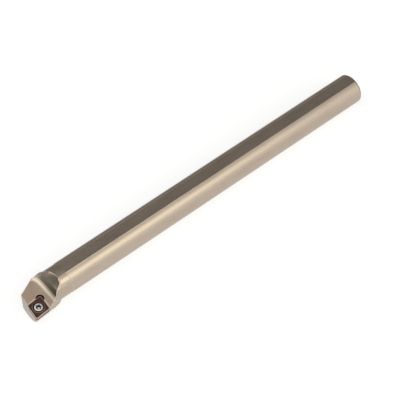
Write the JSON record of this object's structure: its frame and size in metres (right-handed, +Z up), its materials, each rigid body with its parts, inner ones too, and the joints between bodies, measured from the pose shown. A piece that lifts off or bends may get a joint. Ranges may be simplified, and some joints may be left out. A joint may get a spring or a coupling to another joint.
{
  "type": "indexable boring bar",
  "caption": "Round steel boring bar with two clamping flats, a milled chip gullet and one 80 degree diamond insert held by a countersunk six-lobe screw.",
  "frame": {"origin": "centre of the rear face of the shank, on the shank axis", "axes": "X runs along the shank axis from the rear face to the cutting tip, Y points to the side that cuts, Z is up, square to the two flats"},
  "size_m": [0.254, 0.0225, 0.0193],
  "materials": {
    "plated_steel": "satin champagne nickel plate",
    "coated_carbide": "dark copper-brown coated carbide",
    "screw_steel": "bright ground steel"
  },
  "bodies": {
    "root": {"bar": "plated_steel", "insert": "coated_carbide", "clamp_screw": "screw_steel"}
  },
  "joints": []
}
